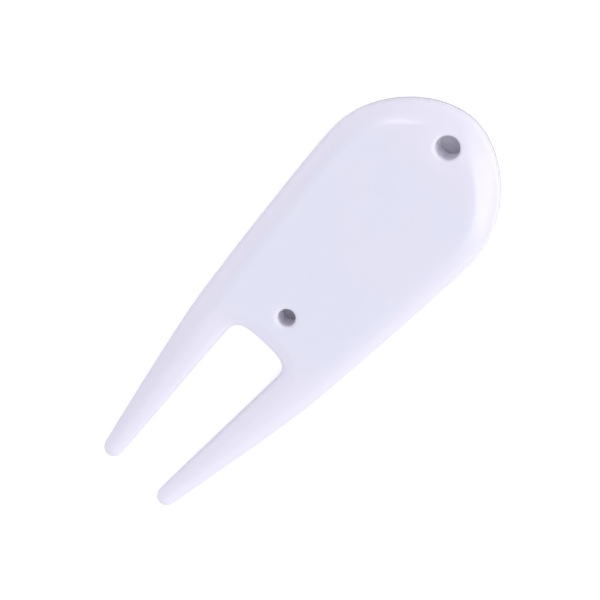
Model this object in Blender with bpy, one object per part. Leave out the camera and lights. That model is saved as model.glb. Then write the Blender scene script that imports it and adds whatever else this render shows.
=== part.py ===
"""Divot repair tool: one moulded plastic piece with a teardrop head and a two-pronged fork.

Frame: metres, +Z up. The long axis is Y, with the head at +Y and the prong tips at -Y.
The origin is at the bottom centre of the tool, which lies on the flat of its back face.
Both faces are alike: the tool is mirrored about its middle plane and about the YZ plane.
"""

import math

import bmesh
import bpy
from mathutils import Vector

MM = 0.001

# Overall size
LENGTH = 76.0 * MM
WIDTH = 28.0 * MM
THICKNESS = 4.6 * MM
TIP_THICKNESS = 2.9 * MM

# Outline of the right half, from the head's end down to the prong's root
HEAD_END = Vector((0.0, LENGTH / 2))
WIDEST = Vector((WIDTH / 2, 22.8 * MM))
ROOT = Vector((11.5 * MM, -9.8 * MM))
HEAD_END_HANDLE = 6.6 * MM
HEAD_SIDE_HANDLE = 7.6 * MM
BODY_HANDLE = 6.5 * MM
ROOT_HANDLE = 5.0 * MM
ROOT_SLOPE = 0.11

# Right prong and its half of the gap
TIP_RADIUS = 1.5 * MM
TIP_CENTRE = Vector((5.3 * MM, TIP_RADIUS - LENGTH / 2))
OUTER_HANDLE = 5.0 * MM
GAP_BASE = Vector((0.0, -8.3 * MM))
GAP_SIDE = Vector((4.97 * MM, -11.4 * MM))
GAP_BASE_HANDLE = 3.8 * MM
GAP_SIDE_HANDLE = 2.9 * MM
RIDGE_START = Vector((8.0 * MM, -10.6 * MM))
RIDGE_HANDLE = Vector((-0.3 * MM, 3.0 * MM))
GAP_CREST = Vector((0.0, -5.7 * MM))
GAP_CREST_HANDLE = 4.5 * MM

# Bevel between the flat face and the edge, as a curve from the wall up to the crest. An edge is
# the height of the wall's top and of the bevel's shoulder, as shares of the half thickness.
SIDE_BEVEL = 3.6 * MM
HEAD_BEVEL = 4.8 * MM
OUTER_EDGE = Vector((0.40, 0.66))
GAP_EDGE = Vector((0.55, 0.92))
CREST_HANDLE = 0.35
CREST_DROP = 0.08

# Round holes through the tool on its long axis
HEAD_HOLE_RADIUS = 1.8 * MM
HEAD_HOLE_Y = 32.85 * MM
FORK_HOLE_RADIUS = 1.3 * MM
FORK_HOLE_Y = -2.8 * MM
CUTTER_OVERHANG = 2.0 * MM

# Mesh resolution
HEAD_STEPS = 14
BODY_STEPS = 8
PRONG_STEPS = 8
TIP_STEPS = 8
GAP_STEPS = 9
PROFILE_STEPS = 6
HOLE_SIDES = 36
WELD_DISTANCE = 0.001 * MM
SHARP_ANGLE = math.radians(40.0)

WHITE = (0.86, 0.86, 0.90, 1.0)
ROUGHNESS = 0.25


def clear_scene():
    for item in list(bpy.data.objects):
        bpy.data.objects.remove(item, do_unlink=True)


def white_plastic():
    material = bpy.data.materials.new("white_plastic")
    material.use_nodes = True
    shader = material.node_tree.nodes["Principled BSDF"]
    shader.inputs["Base Color"].default_value = WHITE
    shader.inputs["Roughness"].default_value = ROUGHNESS
    shader.inputs["Metallic"].default_value = 0.0
    return material


def curve_run(start, start_handle, end_handle, end, steps):
    """Points along a cubic Bezier curve, from its start up to just before its end."""
    points = []
    for i in range(steps):
        t = i / steps
        s = 1.0 - t
        points.append(s ** 3 * start + 3 * s * s * t * start_handle
                      + 3 * s * t * t * end_handle + t ** 3 * end)
    return points


def tangent_angle(point, side):
    """Angle on the tip's circle where the line from a point touches it."""
    reach = point - TIP_CENTRE
    return math.atan2(reach.y, reach.x) + side * math.acos(TIP_RADIUS / reach.length)


def tip_point(angle):
    return TIP_CENTRE + TIP_RADIUS * Vector((math.cos(angle), math.sin(angle)))


def body_outline():
    """Right side from the head's end to the prong's root."""
    head = curve_run(HEAD_END, HEAD_END + Vector((HEAD_END_HANDLE, 0.0)),
                     WIDEST + Vector((0.0, HEAD_SIDE_HANDLE)), WIDEST, HEAD_STEPS)
    root_handle = ROOT + ROOT_HANDLE * Vector((ROOT_SLOPE, 1.0))
    side = curve_run(WIDEST, WIDEST - Vector((0.0, BODY_HANDLE)), root_handle, ROOT, BODY_STEPS)
    return head + side + [ROOT]


def inward_normals(points):
    """Unit normals of a run of points that goes round the plastic clockwise."""
    normals = []
    for i in range(len(points)):
        along = points[min(i + 1, len(points) - 1)] - points[max(i - 1, 0)]
        normals.append(Vector((along.y, -along.x)).normalized())
    return normals


def body_stations():
    """Outline point, crest point, half thickness and edge for each station on the body."""
    points = body_outline()
    normals = inward_normals(points)
    normals[0] = Vector((0.0, -1.0))
    stations = []
    for point, normal in zip(points[:-1], normals):
        bevel = SIDE_BEVEL + (HEAD_BEVEL - SIDE_BEVEL) * max(0.0, -normal.y) ** 2
        stations.append((point, point + bevel * normal, THICKNESS / 2, OUTER_EDGE))
    return stations


def ridge(fraction):
    """Crest point and half thickness along a prong, from its root to its tip."""
    thinning = (THICKNESS - TIP_THICKNESS) / 2 * fraction ** 1.5
    return RIDGE_START.lerp(TIP_CENTRE, fraction), THICKNESS / 2 - thinning


def prong_stations():
    """Down the outer side of the prong, round its tip and up its inner side."""
    root_handle = ROOT - OUTER_HANDLE * Vector((ROOT_SLOPE, 1.0))
    outer_angle = tangent_angle(root_handle, -1.0)
    inner_angle = tangent_angle(GAP_SIDE, 1.0) - 2 * math.pi
    tip_start = tip_point(outer_angle)
    tip_handle = tip_start.lerp(root_handle, 0.3)
    outer = curve_run(ROOT, root_handle, tip_handle, tip_start, PRONG_STEPS)
    stations = [(point, *ridge(i / PRONG_STEPS), OUTER_EDGE) for i, point in enumerate(outer)]
    for i in range(TIP_STEPS + 1):
        fraction = i / TIP_STEPS
        angle = outer_angle + (inner_angle - outer_angle) * fraction
        stations.append((tip_point(angle), *ridge(1.0), OUTER_EDGE.lerp(GAP_EDGE, fraction)))
    tip_end = tip_point(inner_angle)
    for i in range(1, PRONG_STEPS):
        fraction = i / PRONG_STEPS
        stations.append((tip_end.lerp(GAP_SIDE, fraction), *ridge(1.0 - fraction), GAP_EDGE))
    return stations


def gap_stations():
    """Round the gap's arch to the middle of its base, with the crest on a wider arch."""
    base = curve_run(GAP_SIDE, GAP_SIDE + Vector((0.0, GAP_SIDE_HANDLE)),
                     GAP_BASE + Vector((GAP_BASE_HANDLE, 0.0)), GAP_BASE, GAP_STEPS) + [GAP_BASE]
    crest = curve_run(RIDGE_START, RIDGE_START + RIDGE_HANDLE,
                      GAP_CREST + Vector((GAP_CREST_HANDLE, 0.0)), GAP_CREST, GAP_STEPS) + [GAP_CREST]
    return [(*pair, THICKNESS / 2, GAP_EDGE) for pair in zip(base, crest)]


def mirrored(station):
    point, crest, half, edge = station
    return Vector((-point.x, point.y)), Vector((-crest.x, crest.y)), half, edge


def all_stations():
    """The whole way round the tool, clockwise from the head's end."""
    right = body_stations() + prong_stations() + gap_stations()
    left = [mirrored(station) for station in reversed(right[1:-1])]
    return right + left


def section(point, crest, half, edge):
    """Upper half of the section at one station, from the wall up to the crest."""
    width = (crest - point).length
    inward = (crest - point) / width
    profile = curve_run(Vector((0.0, edge.x * half)),
                        Vector((0.0, edge.y * half)),
                        Vector(((1.0 - CREST_HANDLE) * width, (1.0 - CREST_DROP) * half)),
                        Vector((width, half)), PROFILE_STEPS)
    upper = [(point + reach * inward, height) for reach, height in profile]
    return upper + [(crest, half)]


def station_column(mesh, station):
    """Vertices of one station, from the crest of the back to the crest of the front."""
    upper = section(*station)
    lower = [(place, -height) for place, height in reversed(upper)]
    middle = THICKNESS / 2
    return [mesh.verts.new((place.x, place.y, middle + height)) for place, height in lower + upper]


def tool_mesh():
    """Bevel and wall as a strip round the tool, then the two flat faces."""
    mesh = bmesh.new()
    columns = [station_column(mesh, station) for station in all_stations()]
    for here, there in zip(columns, columns[1:] + columns[:1]):
        for k in range(len(here) - 1):
            mesh.faces.new((here[k], there[k], there[k + 1], here[k + 1]))
    bmesh.ops.remove_doubles(mesh, verts=mesh.verts, dist=WELD_DISTANCE)
    rim = [edge for edge in mesh.edges if edge.is_boundary]
    bmesh.ops.holes_fill(mesh, edges=rim, sides=0)
    bmesh.ops.recalc_face_normals(mesh, faces=mesh.faces)
    return mesh


def add_object(name, mesh, material):
    data = bpy.data.meshes.new(name)
    mesh.to_mesh(data)
    mesh.free()
    data.shade_smooth()
    data.set_sharp_from_angle(angle=SHARP_ANGLE)
    item = bpy.data.objects.new(name, data)
    item.data.materials.append(material)
    bpy.context.scene.collection.objects.link(item)
    return item


def cut_hole(item, name, y, radius, material):
    """Round hole through the tool, cut by a cylinder that stays as a hidden guide."""
    mesh = bmesh.new()
    bmesh.ops.create_cone(mesh, cap_ends=True, segments=HOLE_SIDES, radius1=radius,
                          radius2=radius, depth=THICKNESS + 2 * CUTTER_OVERHANG)
    cutter = add_object(name, mesh, material)
    cutter.location = (0.0, y, THICKNESS / 2)
    cutter.hide_render = True
    cutter.display_type = "WIRE"
    cut = item.modifiers.new(name, "BOOLEAN")
    cut.operation = "DIFFERENCE"
    cut.solver = "EXACT"
    cut.object = cutter


def main():
    clear_scene()
    plastic = white_plastic()
    tool = add_object("tool_body", tool_mesh(), plastic)
    cut_hole(tool, "head_hole_cutter", HEAD_HOLE_Y, HEAD_HOLE_RADIUS, plastic)
    cut_hole(tool, "fork_hole_cutter", FORK_HOLE_Y, FORK_HOLE_RADIUS, plastic)


main()
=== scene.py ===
"""Looks of the divot repair tool: one glossy white moulded piece on a pale floor.

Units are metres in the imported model's frame: +Y to the head's end, +Z out of the front face.
The tool lies on its back face at z = 0.
"""

import math

import bmesh
import bpy
from mathutils import Matrix, Vector
from mathutils.bvhtree import BVHTree


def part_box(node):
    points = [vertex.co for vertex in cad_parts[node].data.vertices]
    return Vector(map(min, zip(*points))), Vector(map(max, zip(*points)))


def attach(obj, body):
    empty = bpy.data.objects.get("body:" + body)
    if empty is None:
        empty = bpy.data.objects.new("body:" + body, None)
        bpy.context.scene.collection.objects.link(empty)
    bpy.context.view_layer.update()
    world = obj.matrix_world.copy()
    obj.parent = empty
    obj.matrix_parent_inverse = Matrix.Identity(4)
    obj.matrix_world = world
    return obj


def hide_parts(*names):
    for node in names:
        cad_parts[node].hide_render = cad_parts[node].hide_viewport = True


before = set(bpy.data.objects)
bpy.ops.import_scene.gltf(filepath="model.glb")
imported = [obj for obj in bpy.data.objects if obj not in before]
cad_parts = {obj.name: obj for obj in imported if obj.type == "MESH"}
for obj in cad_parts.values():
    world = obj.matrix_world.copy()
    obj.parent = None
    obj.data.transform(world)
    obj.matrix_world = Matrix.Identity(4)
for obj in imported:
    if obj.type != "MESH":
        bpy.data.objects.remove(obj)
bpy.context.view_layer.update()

MM = 0.001
NODE = "tool_body"
NODE_LOW, NODE_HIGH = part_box(NODE)

# Overall size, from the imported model
LENGTH = 76.0 * MM
WIDTH = NODE_HIGH.x - NODE_LOW.x
THICKNESS = NODE_HIGH.z - NODE_LOW.z
TIP_THICKNESS = 2.9 * MM

# Outline of the right half, from the head's end down to the prong's root
HEAD_END = Vector((0.0, LENGTH / 2))
WIDEST = Vector((WIDTH / 2, 22.8 * MM))
ROOT = Vector((11.5 * MM, -9.8 * MM))
HEAD_END_HANDLE = 6.6 * MM
HEAD_SIDE_HANDLE = 7.6 * MM
BODY_HANDLE = 6.5 * MM
ROOT_HANDLE = 5.0 * MM
ROOT_SLOPE = 0.11

# Right prong and its half of the gap
TIP_RADIUS = 1.5 * MM
TIP_CENTRE = Vector((5.3 * MM, TIP_RADIUS - LENGTH / 2))
OUTER_HANDLE = 5.0 * MM
TIP_HANDLE_SHARE = 0.3
THINNING_POWER = 1.5
GAP_BASE = Vector((0.0, -8.3 * MM))
GAP_SIDE = Vector((4.97 * MM, -11.4 * MM))
GAP_BASE_HANDLE = 3.8 * MM
GAP_SIDE_HANDLE = 2.9 * MM
RIDGE_START = Vector((8.0 * MM, -10.6 * MM))
RIDGE_HANDLE = Vector((-0.3 * MM, 3.0 * MM))
GAP_CREST = Vector((0.0, -5.7 * MM))
GAP_CREST_HANDLE = 4.5 * MM

# Bevel between the flat face and the edge, as a curve from the wall up to the crest. An edge is
# the height of the wall's top and of the bevel's shoulder, as shares of the half thickness.
SIDE_BEVEL = 3.6 * MM
HEAD_BEVEL = 4.8 * MM
OUTER_EDGE = Vector((0.40, 0.66))
GAP_EDGE = Vector((0.55, 0.92))
CREST_HANDLE = 0.35
CREST_DROP = 0.08

# Draft of the wall and the fine bead that the mould's parting line leaves round its middle
PARTING_BEAD = 0.035 * MM
BEAD_LAND = 0.03 * MM
BEAD_FOOT = 0.08 * MM
WALL_DRAFT = 0.03 * MM

# Round holes as place, radius and radius of the shallow dish round the rim
HEAD_HOLE = (32.85 * MM, 1.8 * MM, 3.0 * MM)
FORK_HOLE = (-2.8 * MM, 1.3 * MM, 2.2 * MM)
DISH_DEPTH = 0.03 * MM
DISH_STEPS = 8
RIM_RADIUS = 0.50 * MM
RIM_STEPS = 10
HOLE_SIDES = 160
CUT_TOLERANCE = 0.02 * MM
STEEP_WALL = 0.5

# Marks of the mould's ejector pins on the back face, as places, with their radius and depth
EJECTOR_MARKS = ((0.0, 23.0 * MM), (-6.2 * MM, 4.0 * MM), (6.2 * MM, 4.0 * MM))
EJECTOR_RADIUS = 1.5 * MM
EJECTOR_DEPTH = 0.05 * MM

# Mesh resolution. The last CREST_BLEND steps of a bevel are joined into one.
HEAD_STEPS = 60
BODY_STEPS = 40
PRONG_STEPS = 32
TIP_STEPS = 24
GAP_STEPS = 28
PROFILE_STEPS = 18
CREST_BLEND = 3
WELD_DISTANCE = 0.001 * MM

# Surface of the plastic. It is cool on the flat, and warm where the upright part of the normal
# or the place along the tool is past the ranges, with some clouds of warm tint on the flat. The
# warm tint off the flat, on the bevels and the wall, is a painted highlight.
COOL_WHITE = (0.800, 0.808, 0.901, 1.0)
WARM_WHITE_AND_SHEEN = (0.832, 0.814, 0.903, 1.0)
FLAT_RANGE = (0.94, 0.995)
HEAD_RANGE = (25.0 * MM, 32.0 * MM)
FORK_RANGE = (-13.0 * MM, -5.0 * MM)
CLOUD_SIZE = 16.0 * MM
CLOUD_DETAIL = 3.0
CLOUD_RANGE = (0.50, 0.74)
CLOUD_SHARE = 0.6
IOR = 1.5
TRANSLUCENCY = 0.7
SCATTER_RADIUS = 1.5 * MM
GLOSS = (0.09, 0.15)
POLISH_SIZE = 2.5 * MM
POLISH_DETAIL = 4.0
POLISH_RANGE = (0.3, 0.7)
SCUFF_SIZE = 6.0 * MM
SCUFF_DETAIL = 2.0
SCUFF_STRETCH = 30.0
SCUFF_TURN = math.radians(25.0)
SCUFF_RANGE = (0.66, 0.74)
SCUFF_DULLING = 0.12
FLOW_SIZE = 7.0 * MM
FLOW_DETAIL = 1.0
FLOW_STRETCH = (1.0, 0.4, 1.0)
FLOW_DEPTH = 0.012 * MM
GRAIN_SIZE = 0.35 * MM
GRAIN_DETAIL = 3.0
GRAIN_DEPTH = 0.0012 * MM

# Studio: floor, sky, and softboxes as direction from the tool, width, height and radiance
FLOOR_SIZE = 6.0
FLOOR_WHITE = (0.97, 0.97, 0.97, 1.0)
PAPER_ROUGHNESS = 0.9
# Grey of the discs under the holes: painted shade on the floor seen through them
PAINTED_SHADE_GREY = (0.63, 0.61, 0.67, 1.0)
HAZE = 0.43
SHEET_GAP = 0.005 * MM
COVER_MARGIN = 0.3 * MM
COVER_SHIFT = -0.4 * MM
COVER_SIDES = 64
SKY_TINT = (1.0, 0.997, 1.10)
SKY = 0.628
BOX_TINT = (1.0, 0.997, 0.96)
SOFTBOX_DISTANCE = 1.2
SOFTBOXES = {
    "key_wide": ((0.43, 0.16, 0.89), 0.80, 0.80, 0.85),
    "key_core": ((0.37, 0.08, 0.92), 0.42, 0.42, 1.85),
    "key_edge": ((0.58, -0.02, 0.81), 0.40, 0.34, 0.45),
    "key_head": ((0.42, 0.42, 0.80), 0.50, 0.34, 0.75),
    "key_front": ((0.48, -0.16, 0.86), 0.40, 0.40, 0.60),
    "side_low": ((0.74, -0.36, 0.57), 0.60, 0.44, 0.74),
    "fill_left": ((-0.80, -0.20, 0.57), 0.80, 0.50, 0.50),
    "over_left": ((-0.27, -0.05, 0.96), 0.40, 0.30, 0.50),
    "streak": ((-0.25, -0.03, 0.967), 0.11, 0.20, 2.60),
    "rim_head": ((0.48, 0.82, 0.31), 1.20, 0.50, 1.95),
}

# Camera: leaning from the vertical towards the head's end, and turned with the head upper right
LEAN = math.radians(20.0)
SIDE_LEAN = math.radians(-5.0)
HEAD_DIRECTION = math.radians(46.5)
CAMERA_DISTANCE = 1.0
FRAME_WIDTH = 87.0 * MM
AIM_RIGHT = -0.29 * MM
AIM_UP = 0.14 * MM
SENSOR_WIDTH = 36.0
CLIP_RANGE = (0.01, 20.0)


# ---------------------------------------------------------------- outline and sections


def curve_run(start, start_handle, end_handle, end, steps):
    """Points along a cubic Bezier curve, from its start up to just before its end."""
    points = []
    for i in range(steps):
        t = i / steps
        s = 1.0 - t
        points.append(s ** 3 * start + 3 * s * s * t * start_handle
                      + 3 * s * t * t * end_handle + t ** 3 * end)
    return points


def tangent_angle(point, side):
    """Angle on the tip's circle where the line from a point touches it."""
    reach = point - TIP_CENTRE
    return math.atan2(reach.y, reach.x) + side * math.acos(TIP_RADIUS / reach.length)


def tip_point(angle):
    return TIP_CENTRE + TIP_RADIUS * Vector((math.cos(angle), math.sin(angle)))


def body_outline():
    """Right side from the head's end to the prong's root."""
    head = curve_run(HEAD_END, HEAD_END + Vector((HEAD_END_HANDLE, 0.0)),
                     WIDEST + Vector((0.0, HEAD_SIDE_HANDLE)), WIDEST, HEAD_STEPS)
    root_handle = ROOT + ROOT_HANDLE * Vector((ROOT_SLOPE, 1.0))
    side = curve_run(WIDEST, WIDEST - Vector((0.0, BODY_HANDLE)), root_handle, ROOT, BODY_STEPS)
    return head + side + [ROOT]


def inward_normals(points):
    """Unit normals of a run of points that goes round the plastic clockwise."""
    normals = []
    for i in range(len(points)):
        along = points[min(i + 1, len(points) - 1)] - points[max(i - 1, 0)]
        normals.append(Vector((along.y, -along.x)).normalized())
    return normals


def body_stations():
    """Outline point, crest point, half thickness and edge for each station on the body."""
    points = body_outline()
    normals = inward_normals(points)
    normals[0] = Vector((0.0, -1.0))
    stations = []
    for point, normal in zip(points[:-1], normals):
        bevel = SIDE_BEVEL + (HEAD_BEVEL - SIDE_BEVEL) * max(0.0, -normal.y) ** 2
        stations.append((point, point + bevel * normal, THICKNESS / 2, OUTER_EDGE))
    return stations


def ridge(fraction):
    """Crest point and half thickness along a prong, from its root to its tip."""
    thinning = (THICKNESS - TIP_THICKNESS) / 2 * fraction ** THINNING_POWER
    return RIDGE_START.lerp(TIP_CENTRE, fraction), THICKNESS / 2 - thinning


def prong_stations():
    """Down the outer side of the prong, round its tip and up its inner side."""
    root_handle = ROOT - OUTER_HANDLE * Vector((ROOT_SLOPE, 1.0))
    outer_angle = tangent_angle(root_handle, -1.0)
    inner_angle = tangent_angle(GAP_SIDE, 1.0) - 2 * math.pi
    tip_start = tip_point(outer_angle)
    tip_handle = tip_start.lerp(root_handle, TIP_HANDLE_SHARE)
    outer = curve_run(ROOT, root_handle, tip_handle, tip_start, PRONG_STEPS)
    stations = [(point, *ridge(i / PRONG_STEPS), OUTER_EDGE) for i, point in enumerate(outer)]
    for i in range(TIP_STEPS + 1):
        fraction = i / TIP_STEPS
        angle = outer_angle + (inner_angle - outer_angle) * fraction
        stations.append((tip_point(angle), *ridge(1.0), OUTER_EDGE.lerp(GAP_EDGE, fraction)))
    tip_end = tip_point(inner_angle)
    for i in range(1, PRONG_STEPS):
        fraction = i / PRONG_STEPS
        stations.append((tip_end.lerp(GAP_SIDE, fraction), *ridge(1.0 - fraction), GAP_EDGE))
    return stations


def gap_stations():
    """Round the gap's arch to the middle of its base, with the crest on a wider arch."""
    base = curve_run(GAP_SIDE, GAP_SIDE + Vector((0.0, GAP_SIDE_HANDLE)),
                     GAP_BASE + Vector((GAP_BASE_HANDLE, 0.0)), GAP_BASE, GAP_STEPS)
    crest = curve_run(RIDGE_START, RIDGE_START + RIDGE_HANDLE,
                      GAP_CREST + Vector((GAP_CREST_HANDLE, 0.0)), GAP_CREST, GAP_STEPS)
    pairs = zip(base + [GAP_BASE], crest + [GAP_CREST])
    return [(*pair, THICKNESS / 2, GAP_EDGE) for pair in pairs]


def mirrored(station):
    point, crest, half, edge = station
    return Vector((-point.x, point.y)), Vector((-crest.x, crest.y)), half, edge


def all_stations():
    """The whole way round the tool, clockwise from the head's end."""
    right = body_stations() + prong_stations() + gap_stations()
    left = [mirrored(station) for station in reversed(right[1:-1])]
    return right + left


def section(point, crest, half, edge):
    """Upper half of the section at one station, from the parting line up to the crest.

    The last steps before the crest are one long step, whose smooth shading softens the crest.
    """
    width = (crest - point).length
    inward = (crest - point) / width
    wall_top = PARTING_BEAD + WALL_DRAFT
    bead = [Vector((0.0, BEAD_LAND)), Vector((PARTING_BEAD, BEAD_FOOT))]
    bevel = curve_run(Vector((wall_top, edge.x * half)),
                      Vector((wall_top, edge.y * half)),
                      Vector(((1.0 - CREST_HANDLE) * width, (1.0 - CREST_DROP) * half)),
                      Vector((width, half)), PROFILE_STEPS)
    rounds = bead + bevel[:-CREST_BLEND]
    upper = [(point + reach * inward, height) for reach, height in rounds]
    return upper + [(crest, half)]


# ---------------------------------------------------------------- the moulded body


def station_column(mesh, station):
    """Vertices of one station, from the crest of the back to the crest of the front."""
    upper = section(*station)
    lower = [(place, -height) for place, height in reversed(upper)]
    middle = THICKNESS / 2
    return [mesh.verts.new((place.x, place.y, middle + height)) for place, height in lower + upper]


def shell_mesh():
    """Bevel and wall as a strip round the tool, then the two flat faces."""
    mesh = bmesh.new()
    columns = [station_column(mesh, station) for station in all_stations()]
    for here, there in zip(columns, columns[1:] + columns[:1]):
        for k in range(len(here) - 1):
            mesh.faces.new((here[k], there[k], there[k + 1], here[k + 1]))
    bmesh.ops.remove_doubles(mesh, verts=mesh.verts, dist=WELD_DISTANCE)
    rim = [edge for edge in mesh.edges if edge.is_boundary]
    bmesh.ops.holes_fill(mesh, edges=rim, sides=0)
    bmesh.ops.recalc_face_normals(mesh, faces=mesh.faces)
    return mesh


def add_object(name, mesh):
    data = bpy.data.meshes.new(name)
    mesh.to_mesh(data)
    mesh.free()
    item = bpy.data.objects.new(name, data)
    bpy.context.scene.collection.objects.link(item)
    return item


def cut_cylinder(item, place, radius, low, high):
    """Cuts a plain upright cylinder out of a piece and leaves no modifier behind."""
    mesh = bmesh.new()
    bmesh.ops.create_cone(mesh, cap_ends=True, segments=HOLE_SIDES, radius1=radius,
                          radius2=radius, depth=high - low)
    cutter = add_object("cutter", mesh)
    cutter.location = (place[0], place[1], (low + high) / 2)
    cut = item.modifiers.new("cut", "BOOLEAN")
    cut.operation = "DIFFERENCE"
    cut.solver = "EXACT"
    cut.object = cutter
    graph = bpy.context.evaluated_depsgraph_get()
    result = bpy.data.meshes.new_from_object(item.evaluated_get(graph))
    item.modifiers.clear()
    item.data = result
    bpy.data.objects.remove(cutter)


def surface_height(tree, x, y, side):
    """Height of the uncut face at a place, on the front (side 1) or the back (side -1)."""
    start = Vector((x, y, THICKNESS / 2 + side * THICKNESS))
    hit = tree.ray_cast(start, Vector((0.0, 0.0, -side)))[0]
    return hit.z


def rim_profile(radius, dish):
    """Radius and depth below the face, from inside the dish's edge down to the hole's wall."""
    tilt = math.atan(2 * DISH_DEPTH / (dish - radius - RIM_RADIUS))
    edge = radius + RIM_RADIUS * (1.0 - math.sin(tilt))
    profile = []
    for k in range(1, DISH_STEPS):
        fraction = k / DISH_STEPS
        profile.append((dish + (edge - dish) * fraction, DISH_DEPTH * fraction ** 2))
    for k in range(RIM_STEPS + 1):
        angle = tilt + (math.pi / 2 - tilt) * k / RIM_STEPS
        profile.append((radius + RIM_RADIUS * (1.0 - math.sin(angle)),
                        DISH_DEPTH + RIM_RADIUS * (math.cos(tilt) - math.cos(angle))))
    return profile


def rim_chain(mesh, tree, vertex, y, profile, side):
    """Vertices from the cut edge through the dish and over the rim to the hole's wall."""
    out = Vector((vertex.co.x, vertex.co.y - y)).normalized()
    chain = [vertex]
    for r, depth in profile:
        level = surface_height(tree, out.x * r, y + out.y * r, side)
        chain.append(mesh.verts.new((out.x * r, y + out.y * r, level - side * depth)))
    return chain


def finish_hole(item, tree, y, radius, dish):
    """Replaces the plain cut with a shallow dish, rounded rims and a round wall."""
    mesh = bmesh.new()
    mesh.from_mesh(item.data)
    on_cut = {v for v in mesh.verts
              if abs(math.hypot(v.co.x, v.co.y - y) - dish) < CUT_TOLERANCE}
    wall = [f for f in mesh.faces
            if abs(f.normal.z) < STEEP_WALL and all(v in on_cut for v in f.verts)]
    bmesh.ops.delete(mesh, geom=wall, context="FACES")
    profile = rim_profile(radius, dish)
    rings = []
    for side in (1, -1):
        rim = [e for e in mesh.edges if e.is_boundary and all(v in on_cut for v in e.verts)
               and side * (e.verts[0].co.z - THICKNESS / 2) > 0]
        corners = dict.fromkeys(v for e in rim for v in e.verts)
        chains = {v: rim_chain(mesh, tree, v, y, profile, side) for v in corners}
        for e in rim:
            a, b = (chains[v] for v in e.verts)
            for k in range(len(a) - 1):
                mesh.faces.new((a[k], b[k], b[k + 1], a[k + 1]))
        rings.extend(mesh.edges.get([chains[v][-1] for v in e.verts]) for e in rim)
    bmesh.ops.bridge_loops(mesh, edges=rings)
    bmesh.ops.recalc_face_normals(mesh, faces=mesh.faces)
    mesh.to_mesh(item.data)
    mesh.free()


def moulded_body():
    """The whole tool as one smooth closed surface, in place of the faceted solid."""
    shell = shell_mesh()
    tree = BVHTree.FromBMesh(shell)
    item = add_object("moulded_body", shell)
    for y, radius, dish in (HEAD_HOLE, FORK_HOLE):
        cut_cylinder(item, (0.0, y), dish, -THICKNESS, 2 * THICKNESS)
        finish_hole(item, tree, y, radius, dish)
    for place in EJECTOR_MARKS:
        cut_cylinder(item, place, EJECTOR_RADIUS, -THICKNESS, EJECTOR_DEPTH)
    item.data.shade_smooth()
    weighted = item.modifiers.new("flat_faces", "WEIGHTED_NORMAL")
    weighted.mode = "FACE_AREA"
    return item


# ---------------------------------------------------------------- material


def object_space(tree, stretch=(1.0, 1.0, 1.0), turn=0.0):
    """Position on the tool in metres, stretched and turned about the vertical."""
    place = tree.nodes.new("ShaderNodeTexCoord")
    mapping = tree.nodes.new("ShaderNodeMapping")
    mapping.inputs["Scale"].default_value = stretch
    mapping.inputs["Rotation"].default_value = (0.0, 0.0, turn)
    tree.links.new(place.outputs["Object"], mapping.inputs["Vector"])
    return mapping.outputs["Vector"]


def noise(tree, vector, size, detail):
    """Noise whose features are about as wide as size, in metres."""
    node = tree.nodes.new("ShaderNodeTexNoise")
    node.inputs["Scale"].default_value = 1.0 / size
    node.inputs["Detail"].default_value = detail
    tree.links.new(vector, node.inputs["Vector"])
    return node.outputs["Fac"]


def ranged(tree, value, low, high, to_low, to_high):
    """Maps a value smoothly from one range to another, and holds it there."""
    node = tree.nodes.new("ShaderNodeMapRange")
    node.interpolation_type = "SMOOTHSTEP"
    for socket, number in zip(("From Min", "From Max", "To Min", "To Max"),
                              (low, high, to_low, to_high)):
        node.inputs[socket].default_value = number
    tree.links.new(value, node.inputs["Value"])
    return node.outputs["Result"]


def added(tree, first, second):
    node = tree.nodes.new("ShaderNodeMath")
    node.operation = "ADD"
    tree.links.new(first, node.inputs[0])
    tree.links.new(second, node.inputs[1])
    return node.outputs["Value"]


def split(tree, vector):
    node = tree.nodes.new("ShaderNodeSeparateXYZ")
    tree.links.new(vector, node.inputs["Vector"])
    return node.outputs


def painted_sheen_off_the_flat(tree):
    """0 on the two flat faces, rising to 1 on the bevels and the wall: the mask of a painted
    highlight tint.
    """
    place = tree.nodes.new("ShaderNodeTexCoord")
    upright = tree.nodes.new("ShaderNodeMath")
    upright.operation = "ABSOLUTE"
    tree.links.new(split(tree, place.outputs["Normal"])["Z"], upright.inputs[0])
    return ranged(tree, upright.outputs["Value"], *FLAT_RANGE, 1.0, 0.0)


def bumped(tree, height, depth, normal=None):
    """Relief of a depth in metres, on top of any relief before it."""
    node = tree.nodes.new("ShaderNodeBump")
    node.inputs["Strength"].default_value = 1.0
    node.inputs["Distance"].default_value = depth
    tree.links.new(height, node.inputs["Height"])
    if normal:
        tree.links.new(normal, node.inputs["Normal"])
    return node.outputs["Normal"]


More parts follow.
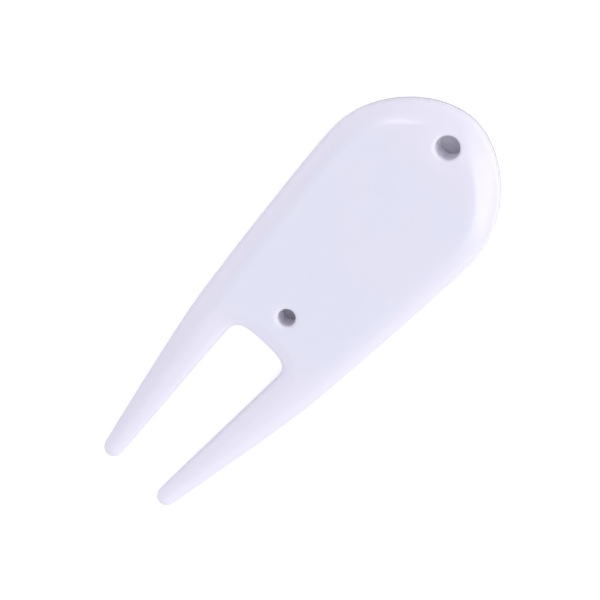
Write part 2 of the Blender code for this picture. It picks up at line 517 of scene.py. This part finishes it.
def white_plastic():
    """Glossy white moulding: cool on the flat, warmer off it and at both ends, with faint flow
    waves, fine grain and hairline scuffs. The warmer tone off the flat is a painted highlight."""
    material = bpy.data.materials.new("white_plastic")
    material.use_nodes = True
    tree = material.node_tree
    shader = tree.nodes["Principled BSDF"]
    shader.inputs["IOR"].default_value = IOR
    shader.inputs["Subsurface Weight"].default_value = TRANSLUCENCY
    shader.inputs["Subsurface Radius"].default_value = (1.0, 1.0, 1.0)
    shader.inputs["Subsurface Scale"].default_value = SCATTER_RADIUS

    place = object_space(tree)
    clouds = noise(tree, place, CLOUD_SIZE, CLOUD_DETAIL)
    cloud = ranged(tree, clouds, *CLOUD_RANGE, 0.0, CLOUD_SHARE)
    along = split(tree, place)["Y"]
    ends = added(tree, ranged(tree, along, *HEAD_RANGE, 0.0, 1.0),
                 ranged(tree, along, *FORK_RANGE, 1.0, 0.0))
    # The part off the flat is a painted highlight tint on the bevels and the wall
    warmth_and_painted_sheen = added(tree, added(tree, cloud, ends), painted_sheen_off_the_flat(tree))
    tint = tree.nodes.new("ShaderNodeMix")
    tint.data_type = "RGBA"
    tint.inputs["A"].default_value = COOL_WHITE
    tint.inputs["B"].default_value = WARM_WHITE_AND_SHEEN
    tree.links.new(warmth_and_painted_sheen, tint.inputs["Factor"])
    tree.links.new(tint.outputs["Result"], shader.inputs["Base Color"])

    polish = ranged(tree, noise(tree, place, POLISH_SIZE, POLISH_DETAIL), *POLISH_RANGE, *GLOSS)
    hair = noise(tree, object_space(tree, (SCUFF_STRETCH, 1.0, 1.0), SCUFF_TURN),
                 SCUFF_SIZE, SCUFF_DETAIL)
    crossing = noise(tree, object_space(tree, (1.0, SCUFF_STRETCH, 1.0), SCUFF_TURN),
                     SCUFF_SIZE, SCUFF_DETAIL)
    scuffs = added(tree, ranged(tree, hair, *SCUFF_RANGE, 0.0, SCUFF_DULLING),
                   ranged(tree, crossing, *SCUFF_RANGE, 0.0, SCUFF_DULLING))
    tree.links.new(added(tree, polish, scuffs), shader.inputs["Roughness"])

    flow = noise(tree, object_space(tree, FLOW_STRETCH), FLOW_SIZE, FLOW_DETAIL)
    waves = bumped(tree, flow, FLOW_DEPTH)
    grain = bumped(tree, noise(tree, place, GRAIN_SIZE, GRAIN_DETAIL), GRAIN_DEPTH, waves)
    tree.links.new(grain, shader.inputs["Normal"])
    return material


# ---------------------------------------------------------------- floor, lights and camera


def paper_material(name, colour):
    material = bpy.data.materials.new(name)
    material.use_nodes = True
    shader = material.node_tree.nodes["Principled BSDF"]
    shader.inputs["Base Color"].default_value = colour
    shader.inputs["Roughness"].default_value = PAPER_ROUGHNESS
    shader.inputs["Specular IOR Level"].default_value = 0.0
    return material


def haze_material():
    """Clear sheet that adds an even light to what is seen through it."""
    material = bpy.data.materials.new("haze")
    material.use_nodes = True
    tree = material.node_tree
    tree.nodes.clear()
    glow = tree.nodes.new("ShaderNodeEmission")
    glow.inputs["Strength"].default_value = HAZE
    clear = tree.nodes.new("ShaderNodeBsdfTransparent")
    both = tree.nodes.new("ShaderNodeAddShader")
    output = tree.nodes.new("ShaderNodeOutputMaterial")
    tree.links.new(glow.outputs["Emission"], both.inputs[0])
    tree.links.new(clear.outputs["BSDF"], both.inputs[1])
    tree.links.new(both.outputs["Shader"], output.inputs["Surface"])
    return material


def stage_sheet(name, size, height, material):
    bpy.ops.mesh.primitive_plane_add(size=size, location=(0.0, 0.0, height))
    item = bpy.context.object
    item.name = name
    item.data.materials.append(material)
    return item


def camera_only(item):
    item.visible_diffuse = False
    item.visible_glossy = False
    item.visible_transmission = False
    item.visible_shadow = False


def floor():
    """Pale floor, with a haze of stray light over it that burns out the tool's soft shadow.

    Plain grey discs lie over it under the tool's holes, where the tool would keep the stray
    light out, and their grey is painted shade on the floor seen through the holes. They sit a
    little towards the fork, where the leaning camera sees the floor, and show to the camera alone,
    as the haze does, so they light nothing.
    """
    stage_sheet("floor", FLOOR_SIZE, 0.0, paper_material("floor", FLOOR_WHITE))
    haze = stage_sheet("haze", FLOOR_SIZE, SHEET_GAP, haze_material())
    camera_only(haze)
    # The grey discs under the holes are painted shade
    grey = paper_material("painted_shade_floor", PAINTED_SHADE_GREY)
    for number, (y, radius, _) in enumerate((HEAD_HOLE, FORK_HOLE), 1):
        place = (0.0, y + COVER_SHIFT, 2 * SHEET_GAP)
        bpy.ops.mesh.primitive_circle_add(radius=radius + COVER_MARGIN, vertices=COVER_SIDES,
                                          fill_type="NGON", location=place)
        cover = bpy.context.object
        cover.name = f"painted_shade_floor_{number}"
        cover.data.materials.append(grey)
        camera_only(cover)


def area_light(name, direction, width, height, radiance):
    """Soft box facing the tool from a direction, as bright as its radiance says."""
    light = bpy.data.lights.new(name, "AREA")
    light.shape = "RECTANGLE"
    light.size = width
    light.size_y = height
    light.energy = radiance * math.pi * width * height
    light.color = BOX_TINT
    item = bpy.data.objects.new(name, light)
    away = Vector(direction).normalized()
    item.location = away * SOFTBOX_DISTANCE
    item.rotation_euler = away.to_track_quat("Z", "Y").to_euler()
    bpy.context.scene.collection.objects.link(item)


def lights():
    world = bpy.data.worlds.new("studio")
    world.use_nodes = True
    background = world.node_tree.nodes["Background"]
    background.inputs["Color"].default_value = (*SKY_TINT, 1.0)
    background.inputs["Strength"].default_value = SKY
    bpy.context.scene.world = world
    for name, (direction, width, height, radiance) in SOFTBOXES.items():
        area_light(name, direction, width, height, radiance)


def camera():
    lean = math.sin(LEAN)
    towards = Vector((lean * math.sin(SIDE_LEAN), lean * math.cos(SIDE_LEAN), math.cos(LEAN)))
    along = (Vector((0.0, 1.0, 0.0)) - towards * towards.y).normalized()
    across = along.cross(towards)
    right = math.cos(HEAD_DIRECTION) * along + math.sin(HEAD_DIRECTION) * across
    up = math.sin(HEAD_DIRECTION) * along - math.cos(HEAD_DIRECTION) * across
    aim = Vector((0.0, 0.0, THICKNESS / 2)) + AIM_RIGHT * right + AIM_UP * up
    data = bpy.data.cameras.new("camera")
    data.sensor_width = SENSOR_WIDTH
    data.lens = SENSOR_WIDTH * CAMERA_DISTANCE / FRAME_WIDTH
    data.clip_start, data.clip_end = CLIP_RANGE
    item = bpy.data.objects.new("camera", data)
    item.matrix_world = Matrix.Translation(aim + CAMERA_DISTANCE * towards) @ Matrix(
        (right, up, towards)).transposed().to_4x4()
    bpy.context.scene.collection.objects.link(item)
    bpy.context.scene.camera = item


def main():
    bpy.context.scene.view_settings.view_transform = "Standard"
    camera()
    floor()
    lights()
    body = moulded_body()
    body.data.materials.append(white_plastic())
    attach(body, "root")
    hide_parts(NODE)


main()
